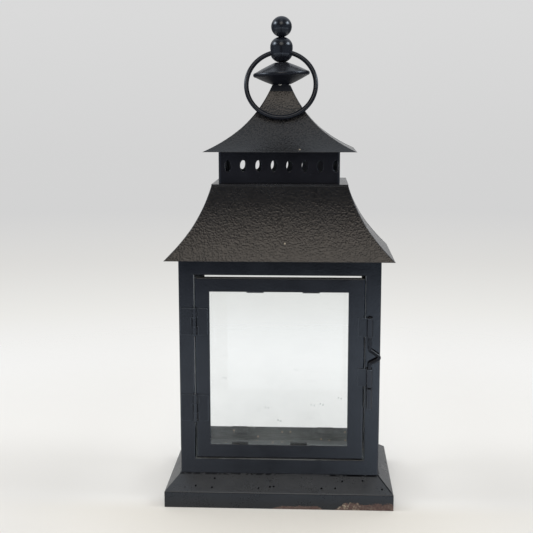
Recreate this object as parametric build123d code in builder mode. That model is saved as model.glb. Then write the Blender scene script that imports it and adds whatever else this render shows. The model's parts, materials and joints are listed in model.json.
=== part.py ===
from build123d import *
import math
import os

# Candle lantern of painted sheet steel, in millimetres. +Z is up, the door faces -Y, and the origin is the
# middle of the footprint at the surface that the lantern stands on.

# Sheet and glass
sheet = 1.0
fold_radius = 1.4
edge_radius = 0.8
bend_share = 0.8
glass_thickness = 2.0
glass_margin = 3.0
seat_clearance = 0.1

# Body
body_width = 136.2
body_depth = 70.0
body_height = 149.6
post_width = 10.1
bottom_rail = 10.7
top_rail = 10.8
jamb_depth = 4.0

# Plinth
plinth_reach_side = 9.7
plinth_reach_front = 15.0
skirt_height = 11.0
slope_rise = 8.5
plinth_flange = 8.0

# Lower roof, from its eave to the ledge plate
eave_reach_side = 8.45
eave_reach_front = 10.3
lower_roof_rise = 49.0
lower_roof_hollow = 4.0
soffit_lip = 9.0

# Cupola
cupola_width = 81.0
cupola_depth = 54.0
cupola_height = 21.5
ledge = 5.0
smoke_lip = 6.0
vent_pitch = 10.3
vent_width = 4.2
vent_height = 7.6
vent_edge = 4.2
vent_shifts = {"front": 1.2, "back": -1.85, "left": 0.0, "right": 0.0}
vent_rises = {"front": 11.9, "back": 10.2, "left": 10.8, "right": 10.8}
vents_left_out = {"front": 0, "back": 1, "left": 0, "right": 0}
band_shift = -0.6

# Upper roof, from its eave to the neck
upper_eave_reach_side = 10.4
upper_eave_reach_front = 9.5
upper_roof_rise = 39.8
upper_roof_hollow = 5.55
upper_soffit_lip = 5.0
neck_width = 16.0
neck_depth = 11.4
neck_top_width = 12.2
neck_top_depth = 9.6
neck_height = 4.1

# Finial
saucer_diameter = 38.8
saucer_sheet = 0.8
saucer_low_depth = 7.1
saucer_high_depth = 7.8
saucer_low_hub = 6.0
saucer_high_hub = 4.4
saucer_bulge = 0.25
saucer_rim = 1.6
saucer_tilt = 3.0
saucer_play = 0.7
ring_ball_diameter = 15.4
ring_ball_height = 16.75
ring_ball_belly = 3.4
ring_ball_foot_width = 5.6
ball_flat = 1.8
top_ball_diameter = 14.1
rod_diameter = 4.0
stud_diameter = 3.0
socket_depth = 2.6
nut_height = 3.2
nut_across_flats = 7.0
washer_diameter = 8.4
washer_height = 1.0
thread_end = 2.0

# Carry ring
ring_wire = 3.2
ring_diameter = 50.2
ring_hole_rise = 6.3
ring_clearance = 0.3
ring_joint_gap = 0.35
ring_joint_angle = -8.0

# Door
door_gap_hinge = 1.25
door_gap_latch = 0.9
door_gap_top = 1.65
door_gap_bottom = 0.5
door_stile = 9.5
door_latch_stile = 10.7
door_depth = 4.5
door_proud = 0.4

# Hinges
hinge_insets = (35.5, 30.15)
hinge_leaf_height = 18.6
post_leaf_width = 9.8
door_leaf_width = 8.8
hinge_leaf = 0.7
hinge_barrel = 2.7
hinge_pin = 1.2
hinge_standoff = 2.0
pin_clearance = 0.05
knuckle_gap = 0.2
knuckle_count = 3
leaf_clearance = 0.3
pin_head = 2.0
pin_head_height = 0.5
pin_head_taper = 30.0

# Latch, its heights measured from the top of the upper strap
latch_drop = 26.45
bolt_wire = 2.4
bolt_setback = 2.85
bolt_clearance = 0.2
strap = 0.65
strap_hold = 4.1
strap_spans = ((-47.3, -35.1), (-12.9, 0.0))
keeper_span = (-62.5, -48.8)
keeper_foot = 4.6
bolt_top = 0.6
bolt_tip_gap = 0.4
handle_heights = (-21.8, -27.3, -31.4)
handle_reach = 7.9
handle_bend = 1.7
bolt_point = 0.5

# Glass clips
clip = 0.6
clip_width = 11.5
clip_foot = 3.6
clip_show = 1.2
door_clips_top = (-16.5, 21.3)
door_clips_bottom = (-27.2, 13.2)
pane_clip_share = 0.55

# Heights worked out from the sizes above
plinth_top = skirt_height + slope_rise
eave_z = plinth_top + body_height
roof_head_z = eave_z + lower_roof_rise
ledge_z = roof_head_z + sheet
upper_eave_z = ledge_z + cupola_height
neck_z = upper_eave_z + upper_roof_rise
neck_top_z = neck_z + neck_height

# Directions
UP = Vector(0, 0, 1)
SIDES = {
    "front": Vector(0, -1, 0),
    "back": Vector(0, 1, 0),
    "left": Vector(-1, 0, 0),
    "right": Vector(1, 0, 0),
}


def is_end(side):
    """True for the short left and right sides."""
    return side in ("left", "right")


def facing(outward):
    """Upright plane through the middle: local x runs outwards, local y runs up."""
    return Plane(origin=(0, 0, 0), x_dir=outward, z_dir=outward.cross(UP))


def wall(outward, reach):
    """Upright plane at a distance from the middle, facing outwards: local y runs up."""
    return Plane(origin=outward * reach, x_dir=UP.cross(outward), z_dir=outward)


def hip_planes(outward, low, high):
    """Upright mitre planes through both hips of a panel, from (reach, half length) low down to high up."""
    along = UP.cross(outward)
    planes = []
    for end in (1, -1):
        foot = outward * low[0] + along * (end * low[1])
        head = outward * high[0] + along * (end * high[1])
        planes.append(Plane(origin=foot, x_dir=UP, z_dir=(head - foot).cross(UP) * -end))
    return planes


def finish(part, name):
    """Names a finished piece and writes it."""
    part.part.label = name
    export_step(part.part, f"parts/{name}.step")


os.makedirs("parts", exist_ok=True)

# Plinth: skirt, slope and seat flange folded from one strip on each side, mitred at the corners
body_half = {"long": body_width / 2, "short": body_depth / 2}
plinth_half = {"long": body_width / 2 + plinth_reach_side, "short": body_depth / 2 + plinth_reach_front}


def plinth_strip(side):
    outward = SIDES[side]
    reach, length = ("long", "short") if is_end(side) else ("short", "long")
    with BuildPart() as strip:
        with BuildSketch(facing(outward)):
            with BuildLine():
                FilletPolyline(
                    (plinth_half[reach], 0),
                    (plinth_half[reach], skirt_height),
                    (body_half[reach], plinth_top),
                    (body_half[reach] - plinth_flange, plinth_top),
                    radius=max(fold_radius, sheet + edge_radius / 2),
                )
                offset(amount=sheet, side=Side.LEFT)
            make_face()
        extrude(amount=plinth_half[length] + plinth_flange, both=True)
        low = (plinth_half[reach], plinth_half[length])
        high = (body_half[reach], body_half[length])
        for plane in hip_planes(outward, low, high):
            split(bisect_by=plane, keep=Keep.TOP)
    return strip


for side in SIDES:
    finish(plinth_strip(side), f"plinth_{side}")

with BuildPart() as floor_plate:
    with BuildSketch(Plane.XY.offset(plinth_top)):
        Rectangle(body_width - 2 * (sheet + seat_clearance), body_depth - 2 * (sheet + seat_clearance))
    extrude(amount=sheet)
finish(floor_plate, "floor_plate")

# Body frames: one cut-out sheet on each side; the front one has its door jamb folded inwards
opening_low = plinth_top + bottom_rail
opening_high = eave_z - top_rail
opening_height = opening_high - opening_low
opening_mid = (opening_low + opening_high) / 2
opening_half = body_width / 2 - post_width
window_half = {"front": opening_half, "back": opening_half}
window_half["left"] = window_half["right"] = body_depth / 2 - post_width
bend_radius = min(edge_radius, bend_share * sheet)


def body_frame(side):
    outward = SIDES[side]
    width = body_depth - 2 * sheet if is_end(side) else body_width
    reach = body_half["long" if is_end(side) else "short"]
    with BuildPart() as frame:
        with BuildSketch(wall(outward, reach)):
            with Locations((0, plinth_top + body_height / 2)):
                Rectangle(width, body_height)
            with Locations((0, opening_mid)):
                Rectangle(2 * window_half[side], opening_height, mode=Mode.SUBTRACT)
        extrude(amount=-sheet)
        if side == "front":
            with BuildSketch(wall(outward, reach)):
                with Locations((0, opening_mid)):
                    Rectangle(2 * (opening_half + sheet), opening_height + 2 * sheet)
                    Rectangle(2 * opening_half, opening_height, mode=Mode.SUBTRACT)
            extrude(amount=-(sheet + jamb_depth))
            fillet(frame.faces().sort_by(Axis.Y)[0].inner_wires()[0].edges(), bend_radius)
        if not is_end(side):
            corners = frame.edges().filter_by(Axis.Z).group_by(SortBy.LENGTH)[-1]
            fillet(corners.group_by(lambda edge: edge.center().dot(outward))[-1], bend_radius)
    return frame


for side in SIDES:
    finish(body_frame(side), f"{side}_frame")


def pane(side):
    outward = SIDES[side]
    reach = body_half["long" if is_end(side) else "short"] - sheet
    with BuildPart() as glass:
        with BuildSketch(wall(outward, reach)):
            with Locations((0, opening_mid)):
                Rectangle(2 * (window_half[side] + glass_margin), opening_height + 2 * glass_margin)
        extrude(amount=-glass_thickness)
    return glass


for side in ("back", "left", "right"):
    finish(pane(side), f"{side}_glass")


# Glass clips: bent tabs, fixed to the sheet beyond the pane's edge and lapping over its back
def glass_clips(planes):
    """A clip on each plane, whose local x runs into the lantern and local y away from the window."""
    edge = glass_margin + seat_clearance
    with BuildPart() as clips:
        for plane in planes:
            with BuildSketch(plane):
                with BuildLine():
                    Polyline(
                        (0, edge),
                        (0, edge + clip + clip_foot),
                        (clip, edge + clip + clip_foot),
                        (clip, edge + clip),
                        (glass_thickness + clip, edge + clip),
                        (glass_thickness + clip, -clip_show),
                        (glass_thickness, -clip_show),
                        (glass_thickness, edge),
                        close=True,
                    )
                make_face()
            extrude(amount=clip_width / 2, both=True)
    return clips


def clip_plane(outward, reach, shift, height, away):
    """Plane of a clip at a window's top (away is 1) or bottom (away is -1) edge."""
    along = UP.cross(outward)
    return Plane(
        origin=outward * reach + along * shift + UP * height,
        x_dir=outward * -1,
        z_dir=(outward * -1).cross(UP * away),
    )


pane_clip_planes = []
for side in ("back", "left", "right"):
    reach = body_half["long" if is_end(side) else "short"] - sheet
    for end in (-1, 1):
        shift = end * pane_clip_share * window_half[side]
        pane_clip_planes.append(clip_plane(SIDES[side], reach, shift, opening_high, 1))
        pane_clip_planes.append(clip_plane(SIDES[side], reach, shift, opening_low, -1))
finish(glass_clips(pane_clip_planes), "pane_clips")


# Roofs: four panels each, curved in one direction and mitred at hips that stand in upright planes
def flare(foot, head, hollow):
    """Middle point of a hollow curve from foot to head, both (reach, height)."""
    run, rise = foot[0] - head[0], head[1] - foot[1]
    chord = math.hypot(run, rise)
    return (
        (foot[0] + head[0]) / 2 - hollow * rise / chord,
        (foot[1] + head[1]) / 2 - hollow * run / chord,
    )


def roof_curves(foot, head, foot_z, head_z, hollow):
    """Outer curve of the end panels and of the long panels, whose hips then lie in one upright plane."""
    end_mid = flare((foot["long"], foot_z), (head["long"], head_z), hollow)
    share = (end_mid[0] - head["long"]) / (foot["long"] - head["long"])
    front_mid = (head["short"] + share * (foot["short"] - head["short"]), end_mid[1])
    return {
        "long": ThreePointArc((foot["long"], foot_z), end_mid, (head["long"], head_z)),
        "short": ThreePointArc((foot["short"], foot_z), front_mid, (head["short"], head_z)),
    }


def inner_reach(curve, height):
    """Reach of a panel's inner face at a height."""
    centre = curve.arc_center
    return centre.X - math.sqrt((curve.radius + sheet) ** 2 - (height - centre.Y) ** 2)


def roof_panel(side, foot, head, curves):
    outward = SIDES[side]
    reach, length = ("long", "short") if is_end(side) else ("short", "long")
    with BuildPart() as panel:
        with BuildSketch(facing(outward)):
            with BuildLine():
                add(curves[reach])
                offset(amount=sheet, side=Side.LEFT)
            make_face()
        extrude(amount=foot[length], both=True)
        for plane in hip_planes(outward, (foot[reach], foot[length]), (head[reach], head[length])):
            split(bisect_by=plane, keep=Keep.TOP)
        split(bisect_by=Plane.XY.offset((curves[reach] @ 0).Y), keep=Keep.TOP)
    return panel


def ring_plate(base_z, outer, inner):
    """Flat rectangular plate with a rectangular opening; outer and inner are half sizes."""
    with BuildPart() as plate:
        with BuildSketch(Plane.XY.offset(base_z)):
            Rectangle(2 * outer["long"], 2 * outer["short"])
            Rectangle(2 * inner["long"], 2 * inner["short"], mode=Mode.SUBTRACT)
        extrude(amount=sheet)
    return plate


cupola_half = {"long": cupola_width / 2, "short": cupola_depth / 2}
ledge_half = {key: half + ledge for key, half in cupola_half.items()}
smoke_half = {key: half - smoke_lip for key, half in cupola_half.items()}

lower_foot = {
    "long": body_half["long"] + eave_reach_side,
    "short": body_half["short"] + eave_reach_front,
}
lower_curves = roof_curves(lower_foot, ledge_half, eave_z, roof_head_z, lower_roof_hollow)
for side in SIDES:
    finish(roof_panel(side, lower_foot, ledge_half, lower_curves), f"lower_roof_{side}")

lower_soffit_outer = {key: inner_reach(curve, eave_z + sheet) for key, curve in lower_curves.items()}
lower_soffit_inner = {key: half - soffit_lip for key, half in body_half.items()}
finish(ring_plate(eave_z, lower_soffit_outer, lower_soffit_inner), "lower_soffit")
finish(ring_plate(roof_head_z, ledge_half, smoke_half), "roof_ledge")

# Cupola: one strip folded round four corners, pierced by a row of upright ovals on each side
with BuildPart() as vent_band:
    with BuildSketch(Plane.XY.offset(ledge_z)):
        with Locations((band_shift, 0)):
            RectangleRounded(cupola_width, cupola_depth, fold_radius)
        offset(amount=-sheet, kind=Kind.INTERSECTION, mode=Mode.SUBTRACT)
    extrude(amount=cupola_height)
    for side, outward in SIDES.items():
        reach, length = ("long", "short") if is_end(side) else ("short", "long")
        row_length = 2 * (cupola_half[length] - vent_edge)
        vent_count = int(row_length / vent_pitch) + 1 - vents_left_out[side]
        with BuildSketch(wall(outward, cupola_half[reach] + band_shift * outward.X)):
            with Locations((vent_shifts[side], ledge_z + vent_rises[side])):
                with GridLocations(vent_pitch, vent_height, vent_count, 1):
                    Ellipse(vent_width / 2, vent_height / 2)
        extrude(amount=-1.5 * sheet, mode=Mode.SUBTRACT)
finish(vent_band, "vent_band")

upper_foot = {
    "long": cupola_half["long"] + upper_eave_reach_side,
    "short": cupola_half["short"] + upper_eave_reach_front,
}
neck_half = {"long": neck_width / 2, "short": neck_depth / 2}
upper_curves = roof_curves(upper_foot, neck_half, upper_eave_z, neck_z, upper_roof_hollow)
for side in SIDES:
    finish(roof_panel(side, upper_foot, neck_half, upper_curves), f"upper_roof_{side}")

upper_soffit_outer = {key: inner_reach(curve, upper_eave_z + sheet) for key, curve in upper_curves.items()}
upper_soffit_inner = {key: half - upper_soffit_lip for key, half in cupola_half.items()}
finish(ring_plate(upper_eave_z, upper_soffit_outer, upper_soffit_inner), "upper_soffit")

# Finial: neck block, a saucer of two dishes that leans a little on its rod, ring ball and top ball
rod_radius = rod_diameter / 2
rod_hole = rod_radius + pin_clearance
stud_radius = stud_diameter / 2
stud_hole = stud_radius + pin_clearance

with BuildPart() as neck_block:
    with BuildSketch(Plane.XY.offset(neck_z)):
        RectangleRounded(neck_width, neck_depth, edge_radius)
    with BuildSketch(Plane.XY.offset(neck_top_z)):
        RectangleRounded(neck_top_width, neck_top_depth, edge_radius)
    loft()
    with BuildSketch(Plane.XY.offset(neck_z)):
        Circle(rod_hole)
    extrude(amount=neck_height, mode=Mode.SUBTRACT)
finish(neck_block, "neck_block")

lean = math.radians(saucer_tilt)
rim_z = neck_top_z + saucer_low_depth * math.cos(lean) + saucer_low_hub * math.sin(lean)
saucer_plane = Plane(origin=(0, 0, rim_z), x_dir=(math.cos(lean), 0, math.sin(lean)), z_dir=(0, -1, 0))
saucer_axis = Axis((0, 0, rim_z), saucer_plane.y_dir)
saucer_radius = saucer_diameter / 2


def saucer_dish(hub, depth, up):
    """One dish, from its flat hub out to the round rim where it meets the other; up is 1 or -1."""
    shoulder = (saucer_radius - saucer_rim, up * saucer_rim)
    middle = ((hub + shoulder[0]) / 2, up * ((depth + saucer_rim) / 2 + saucer_bulge))
    hole = rod_radius + saucer_play
    outer = up * depth
    inner = up * (depth - saucer_sheet)
    lip = shoulder[0] - saucer_sheet
    with BuildPart() as dish:
        with BuildSketch(saucer_plane):
            with BuildLine():
                ThreePointArc((hub, outer), middle, shoulder)
                RadiusArc(shoulder, (saucer_radius, 0), up * saucer_rim)
                Line((saucer_radius, 0), (lip, 0))
                hollow = (middle[0] - saucer_sheet / 2, middle[1] - up * saucer_sheet)
                ThreePointArc((lip, 0), hollow, (hub, inner))
                Polyline((hub, inner), (hole, inner), (hole, outer), (hub, outer))
            make_face()
        revolve(axis=saucer_axis)
    return dish


finish(saucer_dish(saucer_low_hub, saucer_low_depth, -1), "saucer_lower")
finish(saucer_dish(saucer_high_hub, saucer_high_depth, 1), "saucer_upper")

ball_foot_z = rim_z + saucer_high_depth * math.cos(lean) + saucer_high_hub * math.sin(lean)
ring_ball_radius = ring_ball_diameter / 2
ring_ball_z = ball_foot_z + ring_ball_height / 2
ring_ball_top_z = ball_foot_z + ring_ball_height
top_ball_radius = top_ball_diameter / 2
top_ball_crown = math.sqrt(top_ball_radius**2 - ball_flat**2)
top_ball_z = ring_ball_top_z + top_ball_crown

# The ring is a circle and its hole is straight, so the hole is drilled wide enough for the ring's curve
ring_radius = (ring_diameter - ring_wire) / 2
ring_sag = ring_radius - math.sqrt(ring_radius**2 - ring_ball_radius**2)
ring_hole = ring_wire / 2 + ring_sag / 2 + ring_clearance
ring_hole_z = ball_foot_z + ring_hole_rise

with BuildPart() as ring_ball:
    with BuildSketch(Plane.XZ):
        with BuildLine():
            belly_low = (ring_ball_radius, ring_ball_z - ring_ball_belly / 2)
            belly_high = (ring_ball_radius, ring_ball_z + ring_ball_belly / 2)
            crown = (ball_flat, ring_ball_top_z)
            foot = (ring_ball_foot_width / 2, ball_foot_z)
            Line(belly_low, belly_high)
            TangentArc(belly_high, crown, tangent=(0, 1))
            TangentArc(belly_low, foot, tangent=(0, -1))
            Polyline(crown, (0, ring_ball_top_z), (0, ball_foot_z), foot)
        make_face()
    revolve(axis=Axis.Z)
    with BuildSketch(Plane.XY.offset(ball_foot_z)):
        Circle(rod_hole)
    extrude(amount=socket_depth, mode=Mode.SUBTRACT)
    with BuildSketch(Plane.XY.offset(ring_ball_top_z)):
        Circle(stud_hole)
    extrude(amount=-socket_depth, mode=Mode.SUBTRACT)
    with BuildSketch(Plane.YZ):
        with Locations((0, ring_hole_z)):
            Circle(ring_hole)
    extrude(amount=ring_ball_diameter, both=True, mode=Mode.SUBTRACT)
finish(ring_ball, "ring_ball")

with BuildPart() as top_ball:
    with Locations((0, 0, top_ball_z)):
        Sphere(top_ball_radius)
    split(bisect_by=Plane.XY.offset(ring_ball_top_z), keep=Keep.TOP)
    with BuildSketch(Plane.XY.offset(ring_ball_top_z)):
        Circle(stud_hole)
    extrude(amount=socket_depth, mode=Mode.SUBTRACT)
finish(top_ball, "top_ball")

with BuildPart() as finial_stud:
    with BuildSketch(Plane.XY.offset(ring_ball_top_z)):
        Circle(stud_radius)
    extrude(amount=socket_depth - seat_clearance, both=True)
finish(finial_stud, "finial_stud")

nut_z = neck_z - washer_height - nut_height
with BuildPart() as finial_rod:
    with BuildSketch(Plane.XY.offset(nut_z - thread_end)):
        Circle(rod_radius)
    extrude(amount=ball_foot_z + socket_depth - seat_clearance - nut_z + thread_end)
finish(finial_rod, "finial_rod")

with BuildPart() as apex_washer:
    with BuildSketch(Plane.XY.offset(neck_z - washer_height)):
        Circle(washer_diameter / 2)
        Circle(rod_hole, mode=Mode.SUBTRACT)
    extrude(amount=washer_height)
finish(apex_washer, "apex_washer")

with BuildPart() as apex_nut:
    with BuildSketch(Plane.XY.offset(nut_z)):
        RegularPolygon(nut_across_flats / 2, 6, major_radius=False)
        Circle(rod_hole, mode=Mode.SUBTRACT)
    extrude(amount=nut_height)
finish(apex_nut, "apex_nut")

# Carry ring: wire bent round to a butt joint, hanging from the ball and leaning on the upper roof
roof_centre = upper_curves["short"].arc_center
hang = 2 * ring_radius - ring_sag / 2
to_centre = math.hypot(roof_centre.X, ring_hole_z - roof_centre.Y)
centre_angle = math.atan2(roof_centre.X, ring_hole_z - roof_centre.Y)
stand_off = upper_curves["short"].radius - ring_wire / 2 - ring_clearance
swing = math.acos((hang**2 + to_centre**2 - stand_off**2) / (2 * hang * to_centre))
ring_lean = centre_angle - swing

ring_down = Vector(0, -math.sin(ring_lean), -math.cos(ring_lean))
ring_centre = Vector(0, 0, ring_hole_z) + ring_down * (ring_radius - ring_sag / 2)
ring_normal = Vector(1, 0, 0).cross(ring_down * -1)
joint_turn = math.radians(ring_joint_angle)
joint_radial = Vector(1, 0, 0) * math.cos(joint_turn) - ring_down * math.sin(joint_turn)
with BuildPart() as carry_ring:
    section = Plane(
        origin=ring_centre + joint_radial * ring_radius,
        x_dir=joint_radial,
        z_dir=ring_normal.cross(joint_radial),
    )
    with BuildSketch(section):
        Circle(ring_wire / 2)
    revolve(
        axis=Axis(ring_centre, ring_normal),
        revolution_arc=360 - math.degrees(ring_joint_gap / ring_radius),
    )
finish(carry_ring, "carry_ring")

# Door: one folded frame with the window cut out, its face a little proud of the posts
front_reach = body_half["short"]
door_reach = front_reach + door_proud
door_left = -opening_half + door_gap_hinge
door_right = opening_half - door_gap_latch
door_low = opening_low + door_gap_bottom
door_high = opening_high - door_gap_top
door_mid = ((door_left + door_right) / 2, (door_low + door_high) / 2)
door_width = door_right - door_left
door_height = door_high - door_low
door_window_mid = (door_mid[0] + (door_stile - door_latch_stile) / 2, door_mid[1])
door_window_width = door_width - door_stile - door_latch_stile
door_window_height = door_height - 2 * door_stile
door_face = wall(SIDES["front"], door_reach)

with BuildPart() as door_frame:
    with BuildSketch(door_face):
        with Locations(door_mid):
            Rectangle(door_width, door_height)
    extrude(amount=-door_depth)
    with BuildSketch(wall(SIDES["front"], door_reach - sheet)):
        with Locations(door_mid):
            Rectangle(door_width - 2 * sheet, door_height - 2 * sheet)
    extrude(amount=-door_depth, mode=Mode.SUBTRACT)
    fillet(door_frame.faces().sort_by(Axis.Y)[0].outer_wire().edges(), bend_radius)
    with BuildSketch(door_face):
        with Locations(door_window_mid):
            Rectangle(door_window_width, door_window_height)
    extrude(amount=-door_depth, mode=Mode.SUBTRACT)
finish(door_frame, "door_frame")

with BuildPart() as door_glass:
    with BuildSketch(wall(SIDES["front"], door_reach - sheet)):
        with Locations(door_window_mid):
            Rectangle(door_window_width + 2 * glass_margin, door_window_height + 2 * glass_margin)
    extrude(amount=-glass_thickness)
finish(door_glass, "door_glass")

door_clip_planes = []
for shift in door_clips_top:
    door_clip_planes.append(clip_plane(SIDES["front"], door_reach - sheet, shift, door_high - door_stile, 1))
for shift in door_clips_bottom:
    door_clip_planes.append(clip_plane(SIDES["front"], door_reach - sheet, shift, door_low + door_stile, -1))
finish(glass_clips(door_clip_planes), "door_glass_clips")

# Hinges: the post leaf carries the middle knuckle and the pin, the door leaf the two outer knuckles
hinge_x = (door_left - opening_half) / 2
hinge_y = -(front_reach + hinge_standoff)
barrel_radius = hinge_barrel / 2
knuckle_height = hinge_leaf_height / knuckle_count
leaf_start = barrel_radius + leaf_clearance


def hinge_leaf_part(way, width, reach, low, spans):
    """A leaf on a face at a reach, running way (1 or -1) from the barrel, with a knuckle on each span."""
    near = hinge_x + way * leaf_start
    with BuildPart() as leaf:
        with BuildSketch(wall(SIDES["front"], reach)):
            with Locations((near + way * (width - leaf_start) / 2, low + hinge_leaf_height / 2)):
                Rectangle(width - leaf_start, hinge_leaf_height)
        extrude(amount=hinge_leaf)
        for start, end in spans:
            with BuildSketch(Plane.XY.offset(low + start)):
                with Locations((hinge_x, hinge_y)):
                    Circle(barrel_radius)
                with Locations((near + way * hinge_leaf / 2, -reach - hinge_leaf / 2)):
                    Rectangle(hinge_leaf, hinge_leaf)
                make_hull()
                with Locations((hinge_x, hinge_y)):
                    Circle(hinge_pin / 2 + pin_clearance, mode=Mode.SUBTRACT)
            extrude(amount=end - start)
    return leaf


def hinge_pin_part(low):
    with BuildPart() as pin:
        with BuildSketch(Plane.XY.offset(low - pin_clearance)):
            with Locations((hinge_x, hinge_y)):
                Circle(hinge_pin / 2)
        extrude(amount=hinge_leaf_height + 2 * pin_clearance)
        for base, way in ((low - pin_clearance, -1), (low + hinge_leaf_height + pin_clearance, 1)):
            with BuildSketch(Plane.XY.offset(base)):
                with Locations((hinge_x, hinge_y)):
                    Circle(pin_head / 2)
            extrude(amount=way * pin_head_height, taper=pin_head_taper)
    return pin


post_spans = ((knuckle_height + knuckle_gap / 2, 2 * knuckle_height - knuckle_gap / 2),)
door_spans = (
    (0, knuckle_height - knuckle_gap / 2),
    (2 * knuckle_height + knuckle_gap / 2, hinge_leaf_height),
)
hinge_heights = {"lower_hinge": door_low + hinge_insets[0], "upper_hinge": door_high - hinge_insets[1]}
for name, height in hinge_heights.items():
    low = height - hinge_leaf_height / 2
    finish(hinge_leaf_part(-1, post_leaf_width, front_reach, low, post_spans), f"{name}_post_leaf")
    finish(hinge_leaf_part(1, door_leaf_width, door_reach, low, door_spans), f"{name}_door_leaf")
    finish(hinge_pin_part(low), f"{name}_pin")

# Latch: straps rolled round a wire bolt, and a keeper on the post that the bolt drops into
bolt_x = opening_half + bolt_setback
bolt_radius = bolt_wire / 2
eye_hole = bolt_radius + bolt_clearance
eye_radius = eye_hole + strap
bolt_y = -(door_reach + eye_radius)
latch_z = door_high - latch_drop


def latch_strap(span):
    with BuildPart() as piece:
        with BuildSketch(Plane.XY.offset(latch_z + span[0])):
            flat = bolt_x - door_right + strap_hold
            with Locations((bolt_x - flat / 2, -door_reach - strap / 2)):
                Rectangle(flat, strap)
            with Locations((bolt_x, bolt_y)):
                Circle(eye_radius)
                Circle(eye_hole, mode=Mode.SUBTRACT)
        extrude(amount=span[1] - span[0])
    return piece


for name, span in zip(("latch_lower_strap", "latch_upper_strap"), strap_spans):
    finish(latch_strap(span), name)

with BuildPart() as latch_keeper:
    with BuildSketch(Plane.XY.offset(latch_z + keeper_span[0])):
        foot_depth = -bolt_y - eye_hole - front_reach
        with Locations((bolt_x, -front_reach - foot_depth / 2)):
            Rectangle(keeper_foot, foot_depth)
        with Locations((bolt_x, bolt_y)):
            Circle(eye_radius)
            Circle(eye_hole, mode=Mode.SUBTRACT)
    extrude(amount=keeper_span[1] - keeper_span[0])
finish(latch_keeper, "latch_keeper")

with BuildPart() as latch_bolt:
    with BuildLine(Plane.XZ.offset(-bolt_y)) as bolt_line:
        FilletPolyline(
            (bolt_x, latch_z + keeper_span[1] + bolt_tip_gap),
            (bolt_x, latch_z + handle_heights[2]),
            (bolt_x + handle_reach, latch_z + handle_heights[1]),
            (bolt_x, latch_z + handle_heights[0]),
            (bolt_x, latch_z + bolt_top),
            radius=handle_bend,
        )
    with BuildSketch(Plane(origin=bolt_line.line @ 0, z_dir=bolt_line.line % 0)):
        Circle(bolt_radius)
    sweep()
    ends = latch_bolt.faces().sort_by(Axis.Z)
    chamfer(ends[0].edges() + ends[-1].edges(), bolt_point)
finish(latch_bolt, "latch_bolt")
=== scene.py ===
import json
import math

import bmesh
import bpy
from mathutils import Matrix, Vector


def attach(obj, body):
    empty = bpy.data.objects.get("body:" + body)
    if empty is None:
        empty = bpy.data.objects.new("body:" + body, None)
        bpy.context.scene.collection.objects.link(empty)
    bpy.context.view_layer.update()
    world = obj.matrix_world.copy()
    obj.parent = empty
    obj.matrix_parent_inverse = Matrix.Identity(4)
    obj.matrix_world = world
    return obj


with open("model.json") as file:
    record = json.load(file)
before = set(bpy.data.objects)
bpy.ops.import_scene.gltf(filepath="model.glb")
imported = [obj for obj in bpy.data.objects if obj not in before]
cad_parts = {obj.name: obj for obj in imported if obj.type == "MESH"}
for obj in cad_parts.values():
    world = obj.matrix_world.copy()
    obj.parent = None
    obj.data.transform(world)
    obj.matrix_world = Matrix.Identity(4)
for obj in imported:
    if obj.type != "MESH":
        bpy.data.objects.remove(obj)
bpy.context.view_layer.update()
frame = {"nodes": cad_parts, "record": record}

MM = 0.001
WHITE = (1.0, 1.0, 1.0, 1.0)

# A fade is a pair of numbers: where a mask is still empty, and where it is full

# Camera, as the photograph was taken: focal length in pixels of the square frame, angles in degrees
FRAME_PX = 533
FOCAL_PX = 1023.0
SENSOR_MM = 36.0
CAMERA_PLACE = Vector((24.29 * MM, -709.67 * MM, 273.84 * MM))
CAMERA_PITCH = 9.196
CAMERA_YAW = -2.795
CAMERA_ROLL = -0.062
CAMERA_NEAR = 0.01

# Studio floor, pale, with painted shade at its sides and a painted shadow close in front of the
# lantern, fading into the backdrop; in front it fades sooner, and sooner still for gloss
FLOOR_RADIUS = 1.4
FLOOR_SEGMENTS = 96
FLOOR_FADE = (0.16, 0.72)
FRONT_FADE = (0.092, 0.16)
GLOSS_FADE = (0.052, 0.085)
FLOOR_COLOUR = (0.91, 0.903, 0.88, 1.0)
# Painted shade: the floor darker at the sides of the lantern, more so in front
FLOOR_SHADE_ASIDE = (0.77, 0.765, 0.748, 1.0)
# Painted shadow: the floor darker close in front of the lantern
FLOOR_SHADOW_NEAR = (0.78, 0.755, 0.70, 1.0)
ASIDE_ACROSS = (0.08, 0.17)
ASIDE_BACK_SHARE = 0.35
ASIDE_FORWARD = (-0.12, 0.05)
ASIDE_FORWARD_SHARE = 0.5
NEAR_AWAY = (0.26, 0.07)
NEAR_FORWARD = (0.03, 0.06)

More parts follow.
